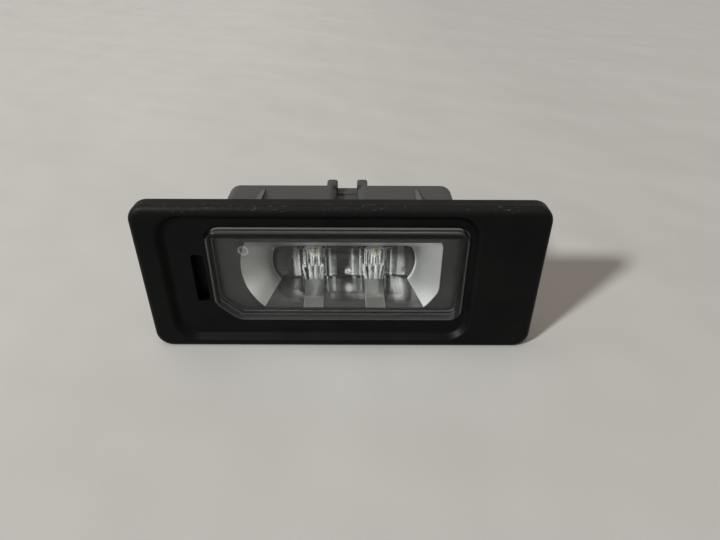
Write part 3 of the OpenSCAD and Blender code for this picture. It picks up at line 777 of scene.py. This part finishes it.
guide = {
    "ior": 1.49,
    "front": (7.6, 7.4),    # flutes and fingers stand before this depth
    "span": (-10.6, 13.5),  # the fluted part, between the round ends
    # the colour of the painted shade on the sides that face away from the light
    "shade": (0.16, 0.165, 0.16),
    "shadeTurn": (0.0, 0.45),
    "lit": 0.36,            # share of painted light on the sides of the flutes that face the light
    "litTurn": (-0.12, -0.5),
    "facing": -0.2,         # a face looks forwards when its normal's Y is below this
    "endTurn": -0.12,       # this and the next three set how the round ends are painted to shine
    "endSlope": 0.2,
    "endFrom": 0.35,
    "endRim": 0.75,
    "blockHalf": (2.15, 2.05),
    "paintedLines": 0.42,          # share of the painted highlights, pale upright lines on the blocks
    "lineSize": 0.4,
    "lineStretch": (1, 1, 0.04),
    "lineRange": (0.46, 0.58),
    "lineFoot": (-2.0, -1.6),
    "glows": ((-9.9, 0.75, 0.42), (12.6, 0.95, 0.34),   # middle, half width and share
              (3.8, 0.8, 0.12), (-2.6, 0.5, 0.1)),
    "glowCore": 0.45,
    "glowFall": (1.0, -2.8, 0.35, 1),   # two heights, and the share at each
    "peg": (1.25, -3.3, 0.85),          # a painted glint on a round moulding mark: place and radius
    "pegCore": 0.3,
    "pegShare": 0.7,
    "pegGrain": 0.5,
    "pegRange": (0.35, 0.6, 0.2, 1),
    "barShadow": (-4.32, -4.42),          # where the painted shadow along the lower edge of the bar starts and is full
    "blockShadow": (-5.17, -5.27),
    "shadowShare": 0.85,
    "shadowColour": (0.012, 0.012, 0.012),
}


def guideFinish(wire, shader, spot, surface, satin):
    look = guide
    across, depth, height = axes(wire, spot)
    front = fade(wire, depth, *look["front"])
    # Painted light and shade: the sides of the flutes that face the light are painted pale, the other sides
    # dark
    side = wire.make("ShaderNodeAttribute", out="Fac", attribute_name="side")
    shaded = ramp(wire, side, *look["shadeTurn"])
    feed(shader, "Base Color", blend(wire, shaded, clear["tint"], look["shade"]))
    lit = ramp(wire, side, *look["litTurn"], 0, look["lit"])
    # A painted glint on the round moulding mark
    rough = ramp(wire, noise(wire, spot, look["pegGrain"]), *look["pegRange"])
    peg = disc(wire, across, height, *look["peg"], look["pegCore"], look["pegShare"]) * rough
    # Painted highlights: pale upright lines on the blocks
    block = fade(wire, away(wire, across, *lamps), *look["blockHalf"])
    upright = noise(wire, place(wire, look["lineStretch"]), look["lineSize"], detail=2)
    paintedLines = block * ramp(wire, upright, *look["lineRange"]) * front
    paintedLines = paintedLines * fade(wire, height, *look["lineFoot"], 0, look["paintedLines"])
    # Painted light: bands where broad flutes gather the light, strongest near the foot
    bands = 0.0
    for middle, half, share in look["glows"]:
        bands = bands + stripe(wire, across, middle, half, look["glowCore"], share)
    bands = bands * front * fade(wire, height, *look["glowFall"])
    surface = mixShaders(wire, wire.calc("MAXIMUM", lit, peg, paintedLines, bands), surface, satin)
    # Painted shadow: dark lines under the bar and under the blocks
    underShadow = fade(wire, height, *look["barShadow"]) * (1 - block)
    underShadow = wire.calc("MAXIMUM", underShadow, fade(wire, height, *look["blockShadow"])) * front
    return mixShaders(wire, underShadow * look["shadowShare"], surface, diffuse(wire, look["shadowColour"]))


def sideTurn(spot, normal):
    # How far a face of the guide turns to the right, as the finish reads it to paint light and shade
    if spot.y >= guide["front"][0] * mm:
        return 0
    first, last = guide["span"]
    if first * mm < spot.x < last * mm:
        return normal.x if normal.y < guide["facing"] else 0
    # The round ends only get painted light near their outline
    turn = abs(normal.x)
    near = max(turn - guide["endFrom"], 0)
    return guide["endTurn"] - guide["endSlope"] * near - max(turn - guide["endRim"], 0)


def makeGuide():
    # Each corner keeps how far its face turns to the left or right, from which the finish paints light and
    # shade
    material = clearPlastic("guidePlastic", guide["ior"], guideFinish)
    mesh = copyOfNode("light_guide", "lightGuide", material, 50).data
    turned = mesh.attributes.new("side", "FLOAT", "CORNER")
    for loop, normal in zip(mesh.loops, mesh.corner_normals):
        turned.data[loop.index].value = sideTurn(mesh.vertices[loop.vertex_index].co, normal.vector)


# Mask

mask = {
    "grey": (0.008, 0.008, 0.0082),
    "pale": (0.0125, 0.0125, 0.0125),
    "specular": 0.2,
    "roughness": 0.4,
    "roughRange": (0.34, 0.46),
    "cloudSize": 4,
    "grain": 0.2,
    "grainDepth": 0.0012,
}


def maskPlastic():
    look = mask
    material, wire, shader = newMaterial("maskPlastic", look["grey"], look["roughness"],
                                         Specular_IOR_Level=look["specular"])
    spot = place(wire)
    cloud = clouds(wire, spot, look["cloudSize"])
    feed(shader, "Base Color", blend(wire, cloud, look["grey"], look["pale"]))
    feed(shader, "Roughness", scaled(wire, cloud, *look["roughRange"]))
    addBump(wire, shader, noise(wire, spot, look["grain"], detail=2), look["grainDepth"])
    return material


# Bowl

bowl = {
    "floor": ((-0.5, -8.1), (7.5, -6.35)),  # depth and height at the front and at the back
    "wallFoot": (0.22, 0.3),            # above the floor
    "metal": (0.64, 0.632, 0.608),
    "dim": (0.6, 0.592, 0.57),
    "tongueHalf": (2.1, 2.0),
    "tongueTop": (1.0, 0.6),            # above the floor
    "tongue": (0.29, 0.286, 0.275),
    "paintedTongueLight": (0.82, 0.81, 0.79),
    "tongueFade": (1.7, 3.8),           # depth, from the front tone to the back tone; both are painted light and shade
    "ridgeHighlight": (1.9, 2.0),                # painted highlight on the sides of the tongues
    "ridgeShare": 0.6,
    "lip": (0.85, 0.85, 0.83),          # painted highlight along the edge round the throat
    "lipDepth": (7.24, 7.34),
    "polished": (0.15, 0.15, 0.147),
    "polishedBack": (0.5, 0.5, 0.49),
    "polishFade": (0.5, 5.5),
    "paintedStreakColour": (0.72, 0.72, 0.7),
    "paintedStreaks": ((-10.2, 1.3, 1.0), (-2.0, 2.0, 0.9),    # middle, half width and share
                (3.7, 1.0, 0.9), (12.3, 2.2, 2.4)),
    "streakCore": 0.2,
    "streakFade": (0.5, 6.0),
    "streakSize": 0.8,
    "streakStretch": (1, 0.06, 0.06),
    "streakRange": (0.35, 0.6, 0.35, 1),
    "glint": (1.45, 5.2),               # a painted glint, a white spot in the polish: place along the lamp, and depth
    "glintRadius": 1.7,
    "glintStretch": 0.65,               # below 1 it is longer from back to front
    "polishedMetallic": 0.97,
    "satinMetallic": 0.92,
    "streakLoss": 0.25,                 # of metallic, as are the next two
    "glintLoss": 0.5,
    "lipLoss": 0.45,
    "roughness": 0.35,
    "mirror": 0.15,
    "satin": 0.39,
    "roughCloud": 0.03,
    "cloudSize": 3,
    "grain": 0.3,
    "grainDepth": 0.0025,
    "rampTo": 2.2,                      # depth at which a tongue has its full height
    "rampRise": 0.4,
    "rampSide": 2.2,                    # corners of the step lie within these
    "rampFront": 0.4,
    "rampSlack": 0.12,
}


def bowlMetal():
    # The sloping floor is polished, the walls and the two tongues are satin
    look = bowl
    material, wire, shader = newMaterial("bowlMetal", look["metal"], look["roughness"])
    spot = place(wire)
    across, depth, height = axes(wire, spot)
    cloud = clouds(wire, spot, look["cloudSize"])
    (frontY, frontZ), (backY, backZ) = look["floor"]
    rise = height - fade(wire, depth, frontY, backY, frontZ * mm, backZ * mm)
    above = fade(wire, rise, *look["wallFoot"])
    aside = away(wire, across, *lamps)
    tongue = fade(wire, aside, *look["tongueHalf"]) * fade(wire, rise, *look["tongueTop"])
    satin = wire.calc("MAXIMUM", above, tongue)
    # Satin metal, with painted highlights on the lip round the throat and on the sides of the tongues
    # Painted light and shade: the tongues are dark at the front and bright at the back
    tone = blend(wire, fade(wire, depth, *look["tongueFade"]), look["tongue"], look["paintedTongueLight"])
    wall = blend(wire, tongue, blend(wire, cloud, look["metal"], look["dim"]), tone)
    lip = above * fade(wire, depth, *look["lipDepth"])
    ridgeHighlight = tongue * fade(wire, aside, *look["ridgeHighlight"]) * look["ridgeShare"]
    wall = blend(wire, wire.calc("MAXIMUM", lip, ridgeHighlight), wall, look["lip"])
    # Painted reflections: pale streaks in the polish that run down the slope and fade towards the front
    fine = noise(wire, place(wire, look["streakStretch"]), look["streakSize"], detail=2)
    paintedStreaks = 0.0
    for middle, half, share in look["paintedStreaks"]:
        paintedStreaks = paintedStreaks + stripe(wire, across, middle, half, look["streakCore"], share)
    paintedStreaks = paintedStreaks * ramp(wire, fine, *look["streakRange"]) * fade(wire, depth, *look["streakFade"])
    x, y = look["glint"]
    stretch = look["glintStretch"]
    glint = disc(wire, across, depth * stretch, x, y * stretch, look["glintRadius"], 0)
    glint = wire.calc("POWER", glint, 2)
    bright = wire.calc("MINIMUM", wire.calc("MAXIMUM", paintedStreaks, glint), 1)
    # Painted shade: the polish is painted darker towards the front
    polished = blend(wire, fade(wire, depth, *look["polishFade"]), look["polished"], look["polishedBack"])
    polished = blend(wire, bright, polished, look["paintedStreakColour"])
    feed(shader, "Base Color", blend(wire, satin, polished, wall))
    metallic = look["polishedMetallic"] - look["streakLoss"] * paintedStreaks - look["glintLoss"] * glint
    metallic = wire.calc("MAXIMUM", metallic, satin * look["satinMetallic"])
    feed(shader, "Metallic", metallic - lip * look["lipLoss"])
    rough = scaled(wire, satin, look["mirror"], look["satin"])
    feed(shader, "Roughness", rough + scaled(wire, cloud, -look["roughCloud"], look["roughCloud"]))
    addBump(wire, shader, noise(wire, spot, look["grain"], detail=2), look["grainDepth"])
    return material


def tongueTop(y):
    (frontY, frontZ), (backY, backZ) = bowl["floor"]
    return frontZ + (backZ - frontZ) * (y - frontY) / (backY - frontY) + bowl["rampRise"]


def makeBowl():
    # The tongues rise gently from the floor instead of ending in a step
    piece = copyOfNode("reflector", "bowlShell", bowlMetal())
    for vert in piece.data.vertices:
        x, y, z = vert.co / mm
        aside = min(abs(x - lamp) for lamp in lamps)
        atTop = abs(z - tongueTop(y)) < bowl["rampSlack"]
        if aside < bowl["rampSide"] and y < bowl["rampFront"] and atTop:
            vert.co.y = bowl["rampTo"] * mm
            vert.co.z = tongueTop(bowl["rampTo"]) * mm


# Housing

housing = {
    "grey": (0.044, 0.0435, 0.0445),
    "pale": (0.057, 0.0562, 0.0568),
    "specular": 0.25,
    "roughness": 0.55,
    "roughRange": (0.48, 0.6),
    "cloudSize": 6,
    "grain": 0.3,
    "grainDepth": 0.012,
    "ribs": (-17.0, 15.7),  # the centring ribs, whose tops are painted pale as a highlight
    "ribHalf": (0.85, 0.8),
    "ribTop": (12.35, 12.45),
    "ribHighlight": (0.105, 0.103, 0.102),
    "edge": 0.18,
}


def housingPlastic():
    look = housing
    material, wire, shader = newMaterial("housingPlastic", look["grey"], look["roughness"],
                                         Specular_IOR_Level=look["specular"])
    spot = place(wire)
    across, _, height = axes(wire, spot)
    cloud = clouds(wire, spot, look["cloudSize"])
    ribs = fade(wire, away(wire, across, *look["ribs"]), *look["ribHalf"])
    ribs = ribs * fade(wire, height, *look["ribTop"])
    tone = blend(wire, cloud, look["grey"], look["pale"])
    feed(shader, "Base Color", blend(wire, ribs, tone, look["ribHighlight"]))
    feed(shader, "Roughness", scaled(wire, cloud, *look["roughRange"]))
    addBump(wire, shader, noise(wire, spot, look["grain"], detail=2, roughness=0.6), look["grainDepth"])
    return material


# Board, spring and small parts

board = {
    "dark": (0.006, 0.0075, 0.007),
    "paintedLight": (0.78, 0.78, 0.74),
    "blockHalf": (2.0, 1.7),
    "bands": ((2.72, 0.22), (4.25, 0.5)),   # middle and half width beside a lamp
    "bandCore": 0.4,
    "endBands": (-10.4, 12.6),
    "endHalf": 0.9,
    "endCore": 0.5,
    "endShare": 0.7,
    "spot": (1.2, -3.9, 0.62),          # a painted bright spot: place and radius
    "spotCore": 0.6,
    "cloudSize": 1.1,
    "whiteRange": (0.25, 0.6, 0.45, 1),
    "roughness": 0.35,
    "roughRange": (0.3, 0.7, 0.3, 0.45),
    "grain": 0.4,
    "grainDepth": 0.004,
}
plain = {
    "cloudSize": 2.5,
    "roughSpread": 0.06,
    "seal": {"name": "sealRubber", "colour": (0.02, 0.02, 0.02), "dark": 0.7, "roughness": 0.7,
             "grain": 0.3, "depth": 0.01},
    "led": {"name": "ledCeramic", "colour": (0.84, 0.84, 0.74), "dark": 0.85, "roughness": 0.5,
            "grain": 0.2, "depth": 0.005},
    "phosphor": {"name": "phosphorResin", "colour": (0.78, 0.75, 0.42), "dark": 0.8, "roughness": 0.3,
                 "grain": 0.15, "depth": 0.004},
    "resistor": {"name": "resistorCoat", "colour": (0.02, 0.02, 0.022), "dark": 0.7, "roughness": 0.4,
                 "grain": 0.2, "depth": 0.005},
    "diode": {"name": "diodeMould", "colour": (0.022, 0.022, 0.024), "dark": 0.7, "roughness": 0.5,
              "grain": 0.2, "depth": 0.006},
    "capacitor": {"name": "capacitorCeramic", "colour": (0.33, 0.23, 0.13), "dark": 0.85, "roughness": 0.45,
                  "grain": 0.2, "depth": 0.004},
    "contact": {"name": "tinnedContact", "colour": (0.66, 0.63, 0.52), "dark": 0.85, "roughness": 0.3,
                "grain": 0.3, "depth": 0.004, "metallic": 1.0, "stretch": (1, 0.2, 1)},
    "membrane": {"name": "membraneFelt", "colour": (0.66, 0.67, 0.64), "dark": 0.85, "roughness": 0.9,
                 "grain": 0.25, "depth": 0.03},
    "spring": {"name": "rolledSteel", "colour": (0.46, 0.47, 0.48), "dark": 0.75, "roughness": 0.32,
               "grain": 0.4, "depth": 0.004, "metallic": 1.0, "stretch": (1, 1, 0.12)},
}


def boardSurface():
    # A dark board with painted light: white fields behind the flutes of the guide, where the daylight gathers
    look = board
    material, wire, shader = newMaterial("boardMask", look["dark"], look["roughness"])
    spot = place(wire)
    across, _, height = axes(wire, spot)
    cloud = noise(wire, spot, look["cloudSize"])
    aside = away(wire, across, *lamps)
    fields = [fade(wire, aside, *look["blockHalf"])]
    fields += [stripe(wire, aside, middle, half, look["bandCore"]) for middle, half in look["bands"]]
    fields += [stripe(wire, across, middle, look["endHalf"], look["endCore"], look["endShare"])
               for middle in look["endBands"]]
    fields.append(disc(wire, across, height, *look["spot"], look["spotCore"]))
    paintedLight = wire.calc("MAXIMUM", *fields) * ramp(wire, cloud, *look["whiteRange"])
    feed(shader, "Base Color", blend(wire, paintedLight, look["dark"], look["paintedLight"]))
    feed(shader, "Roughness", ramp(wire, cloud, *look["roughRange"]))
    addBump(wire, shader, noise(wire, spot, look["grain"]), look["grainDepth"])
    return material


def plainMaterial(name, colour, dark, roughness, grain, depth, metallic=0.0, stretch=(1, 1, 1)):
    # A moulded, fired or rolled surface: cloudy colour, uneven gloss and a fine grain
    material, wire, shader = newMaterial(name, colour, roughness, metallic)
    cloud = clouds(wire, place(wire), plain["cloudSize"])
    feed(shader, "Base Color", blend(wire, cloud, [value * dark for value in colour], colour))
    spread = plain["roughSpread"]
    feed(shader, "Roughness", scaled(wire, cloud, roughness - spread, roughness + spread))
    addBump(wire, shader, noise(wire, place(wire, stretch), grain), depth)
    return material


def dressSmallParts():
    dress(boardSurface(), "circuit_board")
    dress(plainMaterial(**plain["seal"]), "lens_seal")
    dress(plainMaterial(**plain["membrane"]), "vent_membrane")
    dress(plainMaterial(**plain["diode"]), "protection_diode", "surge_diode")
    dress(plainMaterial(**plain["capacitor"]), "capacitor_1", "capacitor_2")
    dress(plainMaterial(**plain["resistor"]), *(f"resistor_{number}" for number in range(1, 5)))
    for kind, node in (("led", "led"), ("phosphor", "phosphor"), ("contact", "contact_pin")):
        dress(plainMaterial(**plain[kind]), f"{node}_left", f"{node}_right")


makeBowl()
copyOfNode("mask", "maskPlate", maskPlastic())
makeGuide()
softEdges(copyOfNode("housing", "housingShell", housingPlastic()), housing["edge"])
copyOfNode("retaining_spring", "springStrip", plainMaterial(**plain["spring"]))
print("bowl, mask, guide, housing and spring made")
dressSmallParts()
print("board and small parts dressed")


# Floor

ground = {
    "size": 6.0,            # metres
    "colour": (0.585, 0.57, 0.54),
    "roughness": 0.75,
    "lightFalloff": 0.83,           # painted light falloff: how dark the right side is beside the left
    "fallSpan": (-100, 100),
    "waveSize": 60,
    "waveDepth": 2.5,
    "grain": 0.6,
    "grainDepth": 0.015,
}


def floorSurface():
    # A sheet with soft waves, and painted shade that makes it a little darker towards the right
    look = ground
    material, wire, shader = newMaterial("paleFloor", look["colour"], look["roughness"])
    spot = place(wire)
    lightFalloff = fade(wire, axes(wire, spot)[0], *look["fallSpan"])
    shade = [value * look["lightFalloff"] for value in look["colour"]]
    feed(shader, "Base Color", blend(wire, lightFalloff, look["colour"], shade))
    waves = noise(wire, spot, look["waveSize"], detail=2) * look["waveDepth"]
    addBump(wire, shader, waves + noise(wire, spot, look["grain"], detail=2) * look["grainDepth"], 1.0)
    return material


def makeFloor():
    bm = bmesh.new()
    bmesh.ops.create_grid(bm, x_segments=1, y_segments=1, size=ground["size"] / 2)
    mesh = bpy.data.meshes.new("floor")
    bm.to_mesh(mesh)
    bm.free()
    mesh.materials.append(floorSurface())
    floor = bpy.data.objects.new("floor", mesh)
    floor.location = (0, 0, cadBox[0][2])
    bpy.context.scene.collection.objects.link(floor)


makeFloor()
print("floor made")
